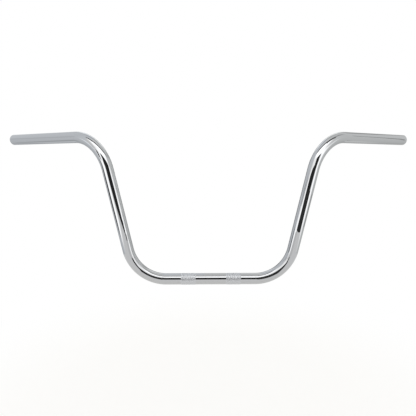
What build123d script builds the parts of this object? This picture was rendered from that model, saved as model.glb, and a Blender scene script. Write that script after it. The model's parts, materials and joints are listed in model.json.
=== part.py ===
"""Ape hanger handlebar: one length of chromed steel tube, bent four times and knurled where the risers clamp it.

The bar stands in its riding position. The origin is the middle of the clamp run, midway between the two
knurled bands. +X runs along the clamp run, +Z points up the uprights and +Y points back towards the rider.
"""

from build123d import *
import os
from math import cos, pi, radians, sin

# Tube stock, in millimetres
tube_diameter = 22.2  # 7/8 in bar, which grips, levers and switches are made for
tube_wall = 2.1

# Straight runs along the centre line, in millimetres
clamp_run = 176.0  # across the risers, from one lower bend to the other
upright_run = 161.0  # up each side, between its lower and upper bend
grip_run = 197.0  # from each upper bend to the cut end

# Bends: centre-line radii in millimetres, headings in degrees
lower_bend_radius = 76.2  # a 3 in bending die
upper_bend_radius = 76.2
upright_angle = 77.5  # of each upright above the clamp run, so that the uprights spread as they rise
grip_sweep = 31.5  # of each grip back from the bar's own plane
grip_drop = 0.5  # of each grip below level, towards its end

# Knurled bands that keep the bar from turning in the risers, in millimetres
knurl_spacing = 88.9  # between the middles of the bands, for risers 3 1/2 in apart
knurl_length = 28.6
knurl_height = 0.2  # of the rolled crests above the tube
knurl_bevel = 0.6  # run-out at each end of a band

# Cut ends, in millimetres
rim_rounding = 1.0  # on the outer edge
bore_bevel = 0.4  # on the inner edge

tube_radius = tube_diameter / 2
bore_radius = tube_radius - tube_wall
crest_radius = tube_radius + knurl_height

across = Vector(1, 0, 0)
upright = Vector(cos(radians(upright_angle)), 0, sin(radians(upright_angle)))
level_grip = Vector(cos(radians(grip_sweep)), sin(radians(grip_sweep)), 0)
grip = level_grip * cos(radians(grip_drop)) - Vector(0, 0, sin(radians(grip_drop)))


def straight(start, heading, length, radius):
    """A straight stretch of rod, and the point where it ends."""
    section = Plane(start, z_dir=heading) * Circle(radius)
    return extrude(section, length), start + heading * length


def bend(start, heading, leaving, bend_radius, radius):
    """A stretch of rod that turns from one heading to another, and the point where it ends."""
    hinge = heading.cross(leaving).normalized()
    centre = start + hinge.cross(heading) * bend_radius
    section = Plane(start, z_dir=heading) * Circle(radius)
    turned = revolve(section, Axis(centre, hinge), heading.get_angle(leaving))
    return turned, centre - hinge.cross(leaving) * bend_radius


def rod(radius):
    """A solid rod along the bar's whole centre line."""
    clamp_end = across * (clamp_run / 2)
    clamp, _ = straight(-clamp_end, across, clamp_run, radius)
    lower_bend, point = bend(clamp_end, across, upright, lower_bend_radius, radius)
    riser, point = straight(point, upright, upright_run, radius)
    upper_bend, point = bend(point, upright, grip, upper_bend_radius, radius)
    handle, _ = straight(point, grip, grip_run, radius)
    side = lower_bend + riser + upper_bend + handle
    return clamp + side + mirror(side, about=Plane.YZ)


def knurl_band(middle):
    """A raised band round the clamp run, bevelled at both ends and rooted in the middle of the wall."""
    root_radius = tube_radius - tube_wall / 2
    start, end = middle - knurl_length / 2, middle + knurl_length / 2
    profile = Polyline(
        (start, root_radius),
        (start, tube_radius),
        (start + knurl_bevel, crest_radius),
        (end - knurl_bevel, crest_radius),
        (end, tube_radius),
        (end, root_radius),
        close=True,
    )
    return revolve(make_face(profile), Axis.X)


def finish_ends(bar):
    """The bar with the outer edge of each cut end rounded over and the inner edge bevelled."""
    outer_rims = [edge for end in cut_ends(bar) for edge in end.outer_wire().edges()]
    bar = fillet(outer_rims, min(rim_rounding, tube_wall - 1.5 * bore_bevel))
    inner_rims = [edge for end in cut_ends(bar) for wire in end.inner_wires() for edge in wire.edges()]
    return chamfer(inner_rims, bore_bevel)


def cut_ends(bar):
    """The two flat rings where the tube was cut to length."""
    return bar.faces().filter_by(GeomType.PLANE)


def centre_line_length():
    """The length of tube that the bar is bent from."""
    lower_arc = lower_bend_radius * radians(across.get_angle(upright))
    upper_arc = upper_bend_radius * radians(upright.get_angle(grip))
    return clamp_run + 2 * (lower_arc + upright_run + upper_arc + grip_run)


bar = rod(tube_radius)
for side in (-1, 1):
    bar += knurl_band(side * knurl_spacing / 2)
bar -= rod(bore_radius)
handlebar = finish_ends(bar)

os.makedirs("parts", exist_ok=True)
export_step(handlebar, "parts/handlebar.step")

tube_section = pi * (tube_radius**2 - bore_radius**2)
print("tube length", round(centre_line_length(), 1), "mm")
print("volume", round(handlebar.volume), "mm3, plain tube", round(tube_section * centre_line_length()), "mm3")
print("size", handlebar.bounding_box().size)
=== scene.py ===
import json

import bpy
import numpy as np
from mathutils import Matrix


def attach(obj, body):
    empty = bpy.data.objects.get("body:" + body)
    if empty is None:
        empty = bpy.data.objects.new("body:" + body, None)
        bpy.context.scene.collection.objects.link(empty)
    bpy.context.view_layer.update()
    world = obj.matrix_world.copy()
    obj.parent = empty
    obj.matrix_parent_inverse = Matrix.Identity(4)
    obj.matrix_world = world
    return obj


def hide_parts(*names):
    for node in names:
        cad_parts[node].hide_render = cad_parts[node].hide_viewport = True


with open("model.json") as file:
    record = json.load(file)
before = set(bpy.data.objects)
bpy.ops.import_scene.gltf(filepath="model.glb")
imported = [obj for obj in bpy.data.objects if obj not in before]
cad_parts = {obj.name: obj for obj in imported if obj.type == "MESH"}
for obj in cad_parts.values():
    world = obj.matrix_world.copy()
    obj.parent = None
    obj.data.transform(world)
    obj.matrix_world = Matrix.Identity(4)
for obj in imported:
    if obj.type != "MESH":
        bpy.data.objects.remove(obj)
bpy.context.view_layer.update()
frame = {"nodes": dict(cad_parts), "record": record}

mounts = {mount["name"]: mount for mount in frame["record"]["mounts"]}
metre = 1000  # millimetres
white = (1.0, 1.0, 1.0, 1.0)
print("frame: nodes", sorted(frame["nodes"]), "mounts", sorted(mounts))


# Shader sums


class Wire:  # one output socket, so that a sum of wires and numbers adds its own Math nodes
    def __init__(self, shader, socket):
        self.shader = shader
        self.socket = socket

    def maths(self, operation, first, second):
        return self.shader.node("ShaderNodeMath", {0: first, 1: second}, {"operation": operation})["Value"]

    def __add__(self, other):
        return self.maths("ADD", self, other)

    def __radd__(self, other):
        return self.maths("ADD", other, self)

    def __sub__(self, other):
        return self.maths("SUBTRACT", self, other)

    def __rsub__(self, other):
        return self.maths("SUBTRACT", other, self)

    def __mul__(self, other):
        return self.maths("MULTIPLY", self, other)

    def __rmul__(self, other):
        return self.maths("MULTIPLY", other, self)


class Shader:  # one node tree, with every node made by the same call
    def __init__(self, tree):
        self.tree = tree
        tree.nodes.clear()

    def node(self, kind, sockets=None, settings=None):
        made = self.tree.nodes.new(kind)
        for name, value in (settings or {}).items():
            setattr(made, name, value)
        for name, value in (sockets or {}).items():
            target = self.findInput(made, name)
            if isinstance(value, Wire):
                self.tree.links.new(value.socket, target)
            else:
                target.default_value = value
        return {output.name: Wire(self, output) for output in made.outputs if output.enabled}

    def findInput(self, made, name):
        if isinstance(name, int):
            return made.inputs[name]
        return next(socket for socket in made.inputs if socket.enabled and socket.name == name)

    def blend(self, share, first, second):  # from first to second as share goes from 0 to 1
        sockets = {"Factor": share, "A": first, "B": second}
        return self.node("ShaderNodeMix", sockets, {"data_type": "RGBA"})["Result"]

    def noise(self, place, sockets):
        return self.node("ShaderNodeTexNoise", {"Vector": place, **sockets})["Fac"]

    def layer(self, name):  # the numbers that addLayer stored
        return self.node("ShaderNodeAttribute", settings={"attribute_name": name})["Fac"]


def newMaterial(name):
    material = bpy.data.materials.new(name)
    material.use_nodes = True
    return material, Shader(material.node_tree)


# Meshes from whole arrays


def openGrid(rows, columns):
    # quads between neighbouring points of a sheet
    row, column = np.meshgrid(np.arange(rows - 1), np.arange(columns - 1), indexing="ij")
    corner = row * columns + column
    return np.stack([corner, corner + 1, corner + columns + 1, corner + columns], axis=-1).reshape(-1, 4)


def loopedGrid(rings, around):
    # quads between neighbouring rings, closed round each ring and from the last ring back to the first
    ring, column = np.meshgrid(np.arange(rings), np.arange(around), indexing="ij")
    nextRing, after = (ring + 1) % rings, (column + 1) % around
    corners = [(nextRing, column), (nextRing, after), (ring, after), (ring, column)]
    return np.stack([r * around + c for r, c in corners], axis=-1).reshape(-1, 4)


def newPiece(name, points, faces, smooth, material):
    mesh = bpy.data.meshes.new(name)
    faceList = [face for block in faces for face in block.tolist()]
    mesh.from_pydata(points.reshape(-1, 3).tolist(), [], faceList)
    mesh.polygons.foreach_set("use_smooth", np.concatenate(smooth))
    mesh.materials.append(material)
    mesh.update()
    piece = bpy.data.objects.new(name, mesh)
    bpy.context.scene.collection.objects.link(piece)
    return piece


def addLayer(piece, name, values):  # one number for each vertex, for a material to read
    layer = piece.data.attributes.new(name, "FLOAT", "POINT")
    layer.data.foreach_set("value", np.asarray(values, np.float32).ravel())


# Camera

view = {
    "eye": (-0.01631, -0.776, 0.24772),
    "pitch": 7.745,  # degrees down from level
    "yaw": 0.799,  # degrees to the right of straight on
    "lens": 34.876,  # millimetres
    "sensor": 36.0,  # millimetres across
    "clipStart": 0.01,
}


def makeCamera(spec):
    data = bpy.data.cameras.new("camera")
    data.lens = spec["lens"]
    data.sensor_width = spec["sensor"]
    data.clip_start = spec["clipStart"]
    camera = bpy.data.objects.new("camera", data)
    camera.location = spec["eye"]
    camera.rotation_euler = (np.radians(90 - spec["pitch"]), 0.0, np.radians(-spec["yaw"]))
    bpy.context.scene.collection.objects.link(camera)
    bpy.context.scene.camera = camera
    print("camera at", spec["eye"])


makeCamera(view)


# Chrome

chrome = {
    "plate": (0.505, 0.510, 0.516, 1.0),
    "plateDeep": (0.490, 0.496, 0.506, 1.0),  # where the plate is a little thicker and bluer
    # the knurl is a lighter copy of the plate's chrome, which is painted light; its groove colour is
    # darker, which is painted shade in the grooves
    "knurl": (0.600, 0.610, 0.628, 1.0),
    "groove": (0.500, 0.508, 0.522, 1.0),
    "steel": (0.190, 0.180, 0.170, 1.0),  # bare wall of the bore
    "scale": (0.085, 0.078, 0.070, 1.0),  # mill scale on it
    "polish": 0.035,  # roughness of the bright plate
    "haze": 0.035,  # added by the polishing marks
    "satin": 0.4,  # roughness of the knurl
    "bare": 0.55,  # roughness of the bore
    "cloud": {"Scale": 14.0, "Detail": 2.0},
    "marks": {"Scale": 1.0, "Detail": 4.0},
    "marksStretch": (900.0, 3.0, 1.0),  # marks for each metre along the bar and each turn round it
    "blotch": {"Scale": 260.0, "Detail": 5.0},
    "peel": {"Scale": 320.0, "Detail": 1.0},
    "peelBump": {"Strength": 0.35, "Distance": 0.000004},
}


def makeChrome(spec):
    material, shader = newMaterial("chromePlate")
    place = shader.node("ShaderNodeTexCoord")
    inBore = shader.layer("inBore")
    inKnurl = shader.layer("inKnurl")
    depth = shader.layer("grooveDepth")

    # slow cloudiness of the plate, a hand's width across
    cloud = shader.noise(place["Object"], spec["cloud"])
    # polishing marks: noise drawn out round the tube by the bar's own map, along the bar and round it
    stretch = {"Vector": place["UV"], "Scale": spec["marksStretch"]}
    marks = shader.noise(shader.node("ShaderNodeMapping", stretch)["Vector"], spec["marks"])
    # blotches of scale in the bore
    blotch = shader.noise(place["Object"], spec["blotch"])

    plate = shader.blend(cloud, spec["plate"], spec["plateDeep"])
    # painted light on the knurl, blending to painted shade deeper in its grooves
    knurl = shader.blend(depth, spec["knurl"], spec["groove"])
    steel = shader.blend(blotch, spec["steel"], spec["scale"])
    outside = shader.blend(inKnurl, plate, knurl)
    colour = shader.blend(inBore, outside, steel)

    bright = spec["polish"] + spec["haze"] * marks * cloud
    dull = bright + inKnurl * (spec["satin"] - bright)
    roughness = dull + inBore * (spec["bare"] - dull)

    # the plate's faint orange peel, a few micrometres deep
    peel = shader.noise(place["Object"], spec["peel"])
    bump = shader.node("ShaderNodeBump", {"Height": peel, **spec["peelBump"]})["Normal"]

    sockets = {"Base Color": colour, "Roughness": roughness, "Metallic": 1.0, "Normal": bump}
    surface = shader.node("ShaderNodeBsdfPrincipled", sockets)["BSDF"]
    shader.node("ShaderNodeOutputMaterial", {"Surface": surface})
    print("chrome:", len(material.node_tree.nodes), "nodes")
    return material


# Handlebar

bar = {
    "clampRun": 0.176,  # straight, across the risers
    "uprightRun": 0.161,
    "gripRun": 0.197,
    "bendRadius": 0.0762,  # of the centre line
    "uprightAngle": 77.5,  # degrees above the clamp run
    "gripSweep": 31.5,  # degrees back from the bar's plane
    "gripDrop": 0.5,  # degrees below level
    "rimRounding": 0.001,
    "rimSteps": 6,
    "boreBevel": 0.0004,
    "around": 192,  # points round the tube, two for each knurl diamond
    "bendSteps": 44,
    "boreBendSteps": 16,
    "runStep": 0.022,
    "knurlSpacing": 0.0889,
    "knurlLength": 0.0286,
    "knurlRunOut": 0.0006,
    "knurlRows": 40,  # diamonds along a band
    "knurlDepth": 0.00004,  # from crest to groove
    "knurlMargin": 0.0001,  # from a band's end to the first ring of plain tube
    "tiny": 1e-9,  # so that the rings at a band's ends count as knurled
}
tubeRadius = mounts["right_grip_seat"]["dims"]["r_mm"] / metre
boreRadius = mounts["right_end_bore"]["dims"]["r_mm"] / metre
crestRadius = mounts["riser_clamp_seat"]["dims"]["r_mm"] / metre
mirrored = np.array([-1.0, 1.0, 1.0])  # from the right half to the left one


def runStations(start, heading, length, places):
    # a straight run: start + heading * place, with the same heading throughout
    points = start + np.outer(places, heading)
    return points, np.tile(heading, (len(places), 1)), start + heading * length


def bendStations(start, heading, leaving, radius, steps):
    # a circular arc that turns heading into leaving: start + radius (sin a heading + (1 - cos a) inward)
    hinge = np.cross(heading, leaving)
    hinge /= np.linalg.norm(hinge)
    inward = np.cross(hinge, heading)
    turn = np.arccos(heading @ leaving)
    angle = np.linspace(0, turn, steps + 1)[1:-1, None]
    points = start + radius * (np.sin(angle) * heading + (1 - np.cos(angle)) * inward)
    headings = np.cos(angle) * heading + np.sin(angle) * inward
    end = start + radius * (np.sin(turn) * heading + (1 - np.cos(turn)) * inward)
    return points, headings, end


def evenPlaces(length, step):
    return np.linspace(0, length, max(2, int(round(length / step)) + 1))


def barStations(spec, clampPlaces, bendSteps):
    # stations of the right half from the middle outwards, then mirrored in X for the left half
    rise, sweep, drop = np.radians([spec["uprightAngle"], spec["gripSweep"], spec["gripDrop"]])
    across = np.array([1.0, 0.0, 0.0])
    upright = np.array([np.cos(rise), 0.0, np.sin(rise)])
    grip = np.array([np.cos(sweep) * np.cos(drop), np.sin(sweep) * np.cos(drop), -np.sin(drop)])
    radius = spec["bendRadius"]
    riserPlaces = evenPlaces(spec["uprightRun"], spec["runStep"])
    gripPlaces = evenPlaces(spec["gripRun"] - spec["rimRounding"], spec["runStep"])
    clamp = runStations(np.zeros(3), across, spec["clampRun"] / 2, clampPlaces)
    lower = bendStations(clamp[2], across, upright, radius, bendSteps)
    riser = runStations(lower[2], upright, spec["uprightRun"], riserPlaces)
    upper = bendStations(riser[2], upright, grip, radius, bendSteps)
    handle = runStations(upper[2], grip, spec["gripRun"], gripPlaces)
    parts = (clamp, lower, riser, upper, handle)
    points = np.vstack([part[0] for part in parts])
    headings = np.vstack([part[1] for part in parts])
    points = np.vstack([points[:0:-1] * mirrored, points])
    headings = np.vstack([-headings[:0:-1] * mirrored, headings])
    return points, headings, handle[2], grip


def clampStations(spec):
    # places along the right half of the clamp run: coarse on plain tube, half a diamond apart on the knurl
    start = spec["knurlSpacing"] / 2 - spec["knurlLength"] / 2
    end = start + spec["knurlLength"]
    knurl = np.linspace(start, end, 2 * spec["knurlRows"] + 1)
    margin = spec["knurlMargin"]
    before = evenPlaces(start - margin, spec["runStep"])
    after = end + margin + evenPlaces(spec["clampRun"] / 2 - end - margin, spec["runStep"])
    return np.concatenate([before, knurl, after])


def ringFrames(headings):
    # two unit vectors across each station: one near +Y, square to the heading, and their cross product
    side = np.array([0.0, 1.0, 0.0]) - headings * headings[:, 1:2]
    side /= np.linalg.norm(side, axis=1)[:, None]
    return side, np.cross(headings, side)


def sweepRings(points, headings, radii, around):
    # circles carried along the path: point + radius (cos t side + sin t up)
    side, up = ringFrames(headings)
    turn = np.linspace(0, 2 * np.pi, around, endpoint=False)[None, :, None]
    spokes = np.cos(turn) * side[:, None] + np.sin(turn) * up[:, None]
    return points[:, None] + radii[..., None] * spokes


def knurlHeights(spec, along):
    # diamond knurl: two crossing families of V grooves, as share 0 in a groove and 1 on a crest
    # share is the nearer groove's distance, from a triangle wave of each diagonal
    column = np.arange(spec["around"])[None, :] / 2
    offset = np.abs(along) - (spec["knurlSpacing"] - spec["knurlLength"]) / 2
    row = (offset / spec["knurlLength"] * spec["knurlRows"])[:, None]
    wave = np.stack([np.abs((row + column + 0.5) % 1 - 0.5), np.abs((row - column + 0.5) % 1 - 0.5)]) * 2
    share = wave.min(axis=0)
    knurled = (offset > -spec["tiny"]) & (offset < spec["knurlLength"] + spec["tiny"])
    runOut = np.clip(np.minimum(offset, spec["knurlLength"] - offset) / spec["knurlRunOut"], 0, 1)
    return share, knurled, runOut, row[:, 0]


def cutEnd(spec, end, outward, heading):
    # cut end: quarter round, flat ring and bevel, each ring at its own place along the grip and radius
    turn = np.radians(np.linspace(0, 90, spec["rimSteps"] + 1))[1:]
    rimPlaces = spec["rimRounding"] * (np.sin(turn) - 1)
    rimRadii = tubeRadius - spec["rimRounding"] * (1 - np.cos(turn))
    places = np.concatenate([rimPlaces, [0.0, -spec["boreBevel"]]])
    radii = np.concatenate([rimRadii, [boreRadius + spec["boreBevel"], boreRadius]])
    points = end + np.outer(places, outward)
    return sweepRings(points, np.tile(heading, (len(places), 1)), radii[:, None], spec["around"])


def splitAlongGrooves(quads, diamondStep, around):
    # two triangles from each knurl quad, cut along the diagonal whose ends are crests and groove crossings
    first = quads[:, 3]
    even = (diamondStep[first // around] + first % around) % 2 == 0
    a, b, c, d = quads.T
    upper = np.where(even[:, None], np.stack([a, b, d], axis=-1), np.stack([a, b, c], axis=-1))
    lower = np.where(even[:, None], np.stack([b, c, d], axis=-1), np.stack([a, c, d], axis=-1))
    return np.concatenate([upper, lower])


def addMap(piece, rings, around):
    # the bar's own map: metres along the bar and turns round it
    middles = rings.mean(axis=1)
    along = np.concatenate([[0], np.cumsum(np.linalg.norm(np.diff(middles, axis=0), axis=1))])
    mesh = piece.data
    corner = np.zeros(len(mesh.loops), int)
    mesh.loops.foreach_get("vertex_index", corner)
    starts = np.zeros(len(mesh.polygons), int)
    mesh.polygons.foreach_get("loop_start", starts)
    column = corner % around
    sizes = np.diff(np.append(starts, len(corner)))
    last = np.maximum.reduceat(column, starts).repeat(sizes)
    turn = np.where((column == 0) & (last == around - 1), around, column) / around
    places = np.stack([along[corner // around], turn], axis=-1)
    layer = mesh.uv_layers.new(name="barMap")
    layer.data.foreach_set("uv", places.astype(np.float32).ravel())


def makeHandlebar(spec, material):
    around = spec["around"]
    points, headings, end, grip = barStations(spec, clampStations(spec), spec["bendSteps"])
    share, knurled, runOut, row = knurlHeights(spec, points[:, 0])
    proud = crestRadius - tubeRadius - (1 - share) * spec["knurlDepth"]
    radii = tubeRadius + knurled[:, None] * runOut[:, None] * proud
    outer = sweepRings(points, headings, radii, around)
    rightEnd = cutEnd(spec, end, grip, grip)
    leftEnd = cutEnd(spec, end * mirrored, grip * mirrored, -grip * mirrored)[::-1]

    # bore: the same path with fewer stations, from the right end back to the left one
    borePlaces = evenPlaces(spec["clampRun"] / 2, spec["runStep"])
    borePoints, boreHeadings, _, _ = barStations(spec, borePlaces, spec["boreBendSteps"])
    bore = sweepRings(borePoints, boreHeadings, np.full((len(borePoints), 1), boreRadius), around)[::-1]

    rings = np.concatenate([outer, rightEnd, bore, leftEnd])
    boreStart = len(outer) + len(rightEnd)
    boreEnd = boreStart + len(bore)
    quads = loopedGrid(len(rings), around)

    # knurl quads become flat triangles; the flat ring and the bevel at each end stay crisp
    ringKnurled = np.zeros(len(rings), bool)
    ringKnurled[: len(outer)] = knurled
    knurlQuads = (ringKnurled & np.roll(ringKnurled, -1)).repeat(around)
    diamondStep = np.zeros(len(rings), int)
    diamondStep[: len(outer)] = np.rint(2 * row)
    facets = splitAlongGrooves(quads[knurlQuads], diamondStep, around)
    crisp = np.zeros(len(rings), bool)
    crisp[[boreStart - 3, boreStart - 2, boreEnd, boreEnd + 1]] = True
    faces = [quads[~knurlQuads], facets]
    smooth = [~crisp.repeat(around)[~knurlQuads], np.zeros(len(facets), bool)]
    piece = newPiece("handlebarTube", rings, faces, smooth, material)

    layers = {name: np.zeros((len(rings), around)) for name in ("inBore", "inKnurl", "grooveDepth")}
    layers["inBore"][boreStart:boreEnd] = 1
    layers["inKnurl"][: len(outer)] = knurled[:, None]
    layers["grooveDepth"][: len(outer)] = knurled[:, None] * (1 - share)
    for name, values in layers.items():
        addLayer(piece, name, values)
    addMap(piece, rings, around)
    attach(piece, "root")
    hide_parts("handlebar")
    print("handlebar:", len(rings), "rings,", 2 * len(faces[0]) + len(facets), "triangles")


makeHandlebar(bar, makeChrome(chrome))


# Studio: a white room, a lit cloth with a dark opening, a seam, greyer walls, and small cards and a ribbon
# near the bar that paint shade and highlights into the chrome's reflections


def soft(value, start, end):
    # smooth step from 0 at start to 1 at end, either way round
    share = np.clip((value - start) / (end - start), 0, 1)
    return share * share * (3 - 2 * share)


room = {
    "strength": 1.0,  # of the white all round
    "floorDrop": 0.30,  # below the clamp run
    "floorReach": 0.9,
    "floorHole": 0.001,  # in the middle of the disc
    "floorAround": 96,
    "floorRings": 24,
    "floorColour": (0.985, 0.98, 0.962, 1.0),
    "floorFade": (0.35, 0.9),  # into the white, in shares of the reach
}


def makeWorld(spec):
    world = bpy.data.worlds.new("whiteRoom")
    bpy.context.scene.world = world
    world.use_nodes = True
    shader = Shader(world.node_tree)
    sockets = {"Color": white, "Strength": spec["strength"]}
    light = shader.node("ShaderNodeBackground", sockets)["Background"]
    shader.node("ShaderNodeOutputWorld", {"Surface": light})


def makeFloor(spec):
    # a flat disc: rings of growing radius about the bar, all at one height
    around, ringCount = spec["floorAround"], spec["floorRings"]
    turn = np.linspace(0, 2 * np.pi, around, endpoint=False)[None, :]
    reach = np.linspace(spec["floorHole"], spec["floorReach"], ringCount)[:, None]
    height = np.full((ringCount, around), -spec["floorDrop"])
    points = np.stack([reach * np.cos(turn), reach * np.sin(turn), height], axis=-1)
    material, shader = newMaterial("paleFloor")
    paint = shader.node("ShaderNodeBsdfDiffuse", {"Color": spec["floorColour"]})["BSDF"]
    light = shader.node("ShaderNodeEmission", {"Strength": spec["strength"]})["Emission"]
    surface = shader.node("ShaderNodeMixShader", {0: shader.layer("fade"), 1: paint, 2: light})["Shader"]
    shader.node("ShaderNodeOutputMaterial", {"Surface": surface})
    sheet = loopedGrid(ringCount, around)[: (ringCount - 1) * around]
    floor = newPiece("floor", points, [sheet], [np.ones(len(sheet), bool)], material)
    addLayer(floor, "fade", soft(reach / spec["floorReach"], *spec["floorFade"]) * np.ones((1, around)))


def makeCloth(name, points, glow, tint=white):
    # a sheet that shines by its own glow at each point, and is seen only in the chrome
    material, shader = newMaterial(name)
    sockets = {"Color": tint, "Strength": shader.layer("glow")}
    light = shader.node("ShaderNodeEmission", sockets)["Emission"]
    shader.node("ShaderNodeOutputMaterial", {"Surface": light})
    sheet = openGrid(*points.shape[:2])
    cloth = newPiece(name, points, [sheet], [np.ones(len(sheet), bool)], material)
    addLayer(cloth, "glow", glow)
    cloth.visible_camera = False
    cloth.visible_diffuse = False
    cloth.visible_shadow = False


# pairs are where a change starts and where it ends: distances from the opening's middle, or heights
frontCloth = {
    "place": -1.0,  # along y
    "side": 3.2,  # half the width
    "foot": -0.7,
    "head": 2.35,  # in the middle
    "headRise": 0.25,  # of the upper edge, times x squared
    "step": 0.03,
    "fieldGlow": 1.25,  # added over the opening
    "fieldSide": (1.5, 0.5),
    "fieldSpread": 0.5,  # wider for each metre up from the next height
    "fieldWaist": 1.0,
    "fieldFoot": (0.4, 0.9),
    "foldHeight": 1.2,
    "foldDepth": 0.3,
    "foldEdge": (0.11, 0.05),  # above and below its height
    "foldSide": (1.2, 0.7),
    "bandGlow": 1.0,  # added low down on both sides
    "bandStart": (0.5, 0.9),
    "bandNear": (2.5, 1.3),
    "bandFar": (3.0, 1.8),
    "bandFarShare": 0.4,
    "bandHinge": 0.7,  # from here outwards the foot and the head fall
    "bandFoot": (-0.21, -0.05),
    "bandFootFall": 0.45,  # for each metre outwards
    "bandHead": (0.9, 0.5),
    "bandHeadFall": 0.15,
    "bandHeadLean": 0.08,  # higher for each metre to the right
    "openingMiddle": 0.09,  # along x
    "openingReach": 0.66,  # half the width
    # bulges added to it: left or right, how much, at which height and how far above and below
    "openingBulges": [(-1, 0.11, 0.335, (0.15, 0.04)), (1, 0.13, 0.25, (0.20, 0.10))],
    "openingFoot": 0.036,
    "openingHalf": 0.395,  # half the height
    "openingTaper": 0.045,  # off the half height for each metre to the right
    "openingCorner": 4.0,  # 2 is an ellipse, more is squarer
    "openingEdge": (1.15, 0.85),  # of the oval's sum
    "openingGlow": 0.035,
}


def makeLitCloth(name, spec):
    # an upright plane, by x and z, with its upper edge rising to both sides
    x = np.arange(-spec["side"], spec["side"], spec["step"])[None, :]
    share = np.linspace(0, 1, int(round((spec["head"] - spec["foot"]) / spec["step"])))[:, None]
    z = spec["foot"] + share * (spec["head"] + spec["headRise"] * x * x - spec["foot"])
    away = np.abs(x - spec["openingMiddle"])
    # bright field over the opening, wider upwards, with a fold across it
    field = soft(away - spec["fieldSpread"] * (z - spec["fieldWaist"]), *spec["fieldSide"])
    field = field * soft(z, *spec["fieldFoot"])
    fold = soft(np.abs(z - spec["foldHeight"]), *spec["foldEdge"]) * soft(away, *spec["foldSide"])
    # bright band at the foot on both sides, brightest beside the opening and lower further out
    outwards = away - spec["bandHinge"]
    farShare = spec["bandFarShare"]
    band = farShare * soft(away, *spec["bandFar"]) + (1 - farShare) * soft(away, *spec["bandNear"])
    band = band * soft(away, *spec["bandStart"])
    band = band * soft(z + spec["bandFootFall"] * outwards, *spec["bandFoot"])
    band = band * soft(z + spec["bandHeadFall"] * outwards - spec["bandHeadLean"] * x, *spec["bandHead"])
    # opening: a squarish oval, (across / reach) ** corner + (up / half) ** corner = 1, lower to the right
    reach = spec["openingReach"]
    for side, amount, height, edge in spec["openingBulges"]:
        reach = reach + amount * (side * (x - spec["openingMiddle"]) > 0) * soft(np.abs(z - height), *edge)
    across = away / reach
    half = spec["openingHalf"] - spec["openingTaper"] * x
    up = np.abs(z - spec["openingFoot"] - half) / half
    opening = soft(across ** spec["openingCorner"] + up ** spec["openingCorner"], *spec["openingEdge"])
    glow = (1 + spec["fieldGlow"] * field + spec["bandGlow"] * band) * (1 - spec["foldDepth"] * fold)
    glow = glow + opening * (spec["openingGlow"] - glow)
    points = np.stack([x + 0 * z, np.full(glow.shape, spec["place"]), z], axis=-1)
    makeCloth(name, points, glow)


def aimAt(azimuth, elevation, facing=1):
    # unit vectors by azimuth from straight in front and elevation, in degrees
    az, el = np.radians(azimuth), np.radians(elevation)
    level = np.cos(el)
    return np.stack([facing * np.sin(az) * level, -np.cos(az) * level, np.sin(el) + 0 * az], axis=-1)


seamArch = {
    "top": 69.5,  # degrees up, straight in front
    "fall": 0.0027,  # degrees down, times azimuth squared
    "half": 7.5,  # half the width in degrees
    "reach": (-70.0, 98.0),  # azimuths at both ends
    "columns": 99,
    "rows": 5,
    "nearness": 0.97,  # as a share of the walls' distance
    "glow": 0.05,
    "endGlow": 0.5,
    "endFade": (55, 85),  # azimuths
}


def makeArch(name, spec, ball):
    # a ribbon on a ball about the bar: elevation = top - fall azimuth ** 2, give or take half its width
    azimuth = np.linspace(*spec["reach"], spec["columns"])[None, :]
    offset = spec["half"] * np.linspace(-1, 1, spec["rows"])[:, None]
    elevation = spec["top"] - spec["fall"] * azimuth**2 + offset
    points = np.array(ball["middle"]) + spec["nearness"] * ball["distance"] * aimAt(azimuth, elevation)
    glow = spec["glow"] + (spec["endGlow"] - spec["glow"]) * soft(np.abs(azimuth), *spec["endFade"])
    makeCloth(name, points, np.tile(glow, (spec["rows"], 1)))


# azimuths are from straight in front, to the wall's own side, and all angles are in degrees
sideWalls = {
    "middle": (0.0, 0.0, 0.25),
    "distance": 2.6,
    "azimuths": (62, 180),
    "elevations": (-50, 83),
    # glow at each azimuth, low down and high up
    "lowLevels": [(62, 1.0), (85, 0.88), (105, 0.80), (125, 0.66), (150, 0.56), (180, 0.60)],
    "highLevels": [(62, 1.0), (85, 0.90), (105, 0.94), (125, 0.88), (150, 0.76), (180, 0.72)],
    "lowToHigh": (-8, 12),
    "footFade": (-50, -42),  # out of the room's white
    "headFade": (83, 70),
    "leftTint": (0.972, 1.005, 1.045, 1.0),
    "rightTint": (0.985, 1.0, 0.995, 1.0),
    # patches: first and last azimuth, lowest and highest elevation, and how much darker
    "leftPatches": [
        (60, 76, -2, 7, -0.5),
        (80, 100, 3, 14, 0.12),
        (91, 110, -37, -26, 0.20),
        (114, 152, -48, -32, -0.20),
        (156, 183, -8, 16, 0.48),
        (150, 183, 28, 48, -0.7),
    ],
    "rightPatches": [
        (60, 74, -25, -16, -0.4),
        (60, 76, -2, 9, -0.5),
        (122, 144, 29, 37, 0.36),
        (106, 152, -48, -31, -0.20),
        (162, 183, -8, 16, 0.48),
        (150, 183, 28, 48, -0.7),
    ],
    "patchEdge": 2,  # half the width of a patch's soft edge
}


def between(value, first, last, edge):
    # 1 from first to last and 0 outside, with soft edges
    return soft(value, first - edge, first + edge) * soft(value, last + edge, last - edge)


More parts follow.
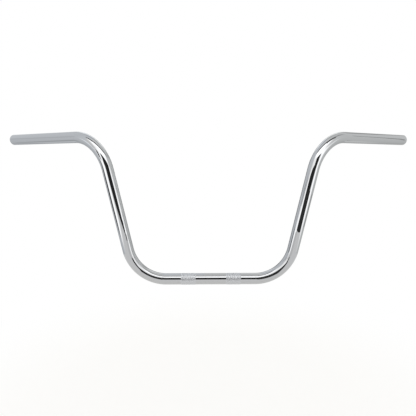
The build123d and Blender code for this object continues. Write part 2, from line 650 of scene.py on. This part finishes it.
def makeWall(name, spec, facing, tint, patches):
    # part of a ball about the bar: middle + distance times the unit vector of each azimuth and elevation
    azimuth = np.arange(spec["azimuths"][0], spec["azimuths"][1] + 1.0)[None, :]
    elevation = np.arange(spec["elevations"][0], spec["elevations"][1] + 1.0)[:, None]
    low = np.interp(azimuth, *zip(*spec["lowLevels"]))
    high = np.interp(azimuth, *zip(*spec["highLevels"]))
    level = low + (high - low) * soft(elevation, *spec["lowToHigh"])
    glow = 1 - (1 - level) * soft(elevation, *spec["footFade"]) * soft(elevation, *spec["headFade"])
    edge = spec["patchEdge"]
    for first, last, foot, head, depth in patches:
        glow = glow - depth * between(azimuth, first, last, edge) * between(elevation, foot, head, edge)
    points = np.array(spec["middle"]) + spec["distance"] * aimAt(azimuth, elevation, facing)
    makeCloth(name, points, glow, tint)


# cards near the bar, seen only in the chrome: the dark, pale and grey ones are painted shade in its
# reflections, the bright ones painted highlights
# each card has a shade and four corners that go once round it
flags = {
    "steps": 9,
    "glows": {"dark": 0.05, "pale": 0.3, "grey": 0.85, "bright": 1.6},
    "cards": {
        "uprightFlag": ("dark", [
            (0.1105, -0.08, 0.101), (0.2253, -0.08, 0.072),
            (0.2324, -0.08, 0.165), (0.1315, -0.08, 0.185),
        ]),
        "stickFlag": ("pale", [
            (0.74, 0.02, 0.44), (0.74, 0.14, 0.25),
            (0.74, 0.15, 0.29), (0.74, 0.03, 0.48),
        ]),
        "railFlag": ("pale", [
            (0.42, 0.22, 0.39), (0.72, 0.40, 0.39),
            (0.72, 0.40, 0.48), (0.42, 0.22, 0.48),
        ]),
        "edgeFlag": ("pale", [
            (0.535, 0.00, -0.02), (0.535, 0.11, -0.02),
            (0.535, 0.11, 0.08), (0.535, 0.00, 0.08),
        ]),
        "cornerFlag": ("bright", [
            (0.120, -0.08, 0.2155), (0.185, -0.08, 0.242),
            (0.185, -0.08, 0.285), (0.120, -0.08, 0.300),
        ]),
        "tailFlag": ("dark", [
            (-0.1507, -0.029, 0.079), (-0.1440, -0.029, 0.079),
            (-0.1460, -0.029, 0.121), (-0.1596, -0.029, 0.121),
        ]),
        "leftShadeCard": ("grey", [
            (-0.1530, -0.03, 0.047), (-0.1310, -0.03, 0.047),
            (-0.1290, -0.03, 0.093), (-0.1560, -0.03, 0.093),
        ]),
        "rightShadeCard": ("grey", [
            (0.1260, -0.03, 0.047), (0.1530, -0.03, 0.047),
            (0.1630, -0.03, 0.097), (0.1420, -0.03, 0.097),
        ]),
        "leftFoot": ("dark", [
            (-0.1370, -0.08, 0.0100), (-0.1000, -0.08, 0.0000),
            (-0.0980, -0.08, 0.0440), (-0.1220, -0.08, 0.0430),
        ]),
        "rightFoot": ("dark", [
            (0.1000, -0.08, -0.003), (0.1430, -0.08, -0.003),
            (0.1430, -0.08, 0.034), (0.1000, -0.08, 0.042),
        ]),
        "leftLift": ("bright", [
            (-0.1235, -0.045, 0.038), (-0.0960, -0.045, 0.031),
            (-0.0900, -0.045, 0.062), (-0.1215, -0.045, 0.060),
        ]),
        "rightLift": ("bright", [
            (0.1040, -0.045, 0.034), (0.1330, -0.045, 0.039),
            (0.1300, -0.045, 0.058), (0.0940, -0.045, 0.062),
        ]),
        "browFlag": ("dark", [
            (0.2360, -0.0390, 0.325), (0.2900, -0.0110, 0.325),
            (0.2740, -0.0045, 0.325), (0.2325, -0.0285, 0.325),
        ]),
        "wedgeFlag": ("dark", [
            (-0.464, -0.163, 0.237), (-0.402, -0.227, 0.237),
            (-0.399, -0.235, 0.332), (-0.430, -0.203, 0.332),
        ]),
    },
}
# a dark ribbon near the left grip, seen only in the chrome: painted shade in its reflection
curvedFlag = {
    "guide": [(-0.555, -0.030, 0.155), (-0.548, -0.075, 0.090), (-0.512, -0.120, -0.035)],
    "halves": (0.04, 0.165, 0.05),
    "faces": (-0.19, 0.0, 0.16),  # a point on the left upright
    "glow": 0.05,
    "steps": 33,
    "stepsAcross": 5,
}


def makeFlags(spec):
    # flat cards between four corners: sums of the corners by shares along and up
    along = np.linspace(0, 1, spec["steps"])[None, :, None]
    up = np.linspace(0, 1, spec["steps"])[:, None, None]
    for name, (shade, corners) in spec["cards"].items():
        corners = np.array(corners)
        low = corners[0] + along * (corners[1] - corners[0])
        high = corners[3] + along * (corners[2] - corners[3])
        points = low + up * (high - low)
        makeCloth(name, points, np.full(points.shape[:2], spec["glows"][shade]))


def makeCurvedFlag(name, spec):
    # a ribbon that faces the bar, along a quadratic curve with three guide points and three half widths
    share = np.linspace(0, 1, spec["steps"])[:, None]
    weights = np.hstack([(1 - share) ** 2, 2 * share * (1 - share), share**2])
    line = weights @ np.array(spec["guide"])
    over = np.cross(np.gradient(line, axis=0), np.array(spec["faces"]) - line)
    over /= np.linalg.norm(over, axis=1)[:, None]
    half = (weights @ np.array(spec["halves"]))[:, None]
    offset = np.linspace(-1, 1, spec["stepsAcross"])[None, :, None]
    points = line[:, None] + offset * (half * over)[:, None]
    makeCloth(name, points, np.full(points.shape[:2], spec["glow"]))


def makeStudio():
    makeWorld(room)
    makeFloor(room)
    makeLitCloth("frontCloth", frontCloth)
    makeArch("seamArch", seamArch, sideWalls)
    makeWall("leftWall", sideWalls, -1, sideWalls["leftTint"], sideWalls["leftPatches"])
    makeWall("rightWall", sideWalls, 1, sideWalls["rightTint"], sideWalls["rightPatches"])
    makeFlags(flags)
    makeCurvedFlag("curvedFlag", curvedFlag)
    print("studio: floor", room["floorDrop"], "m below the clamp run")


makeStudio()
bpy.context.scene.view_settings.view_transform = "Standard"
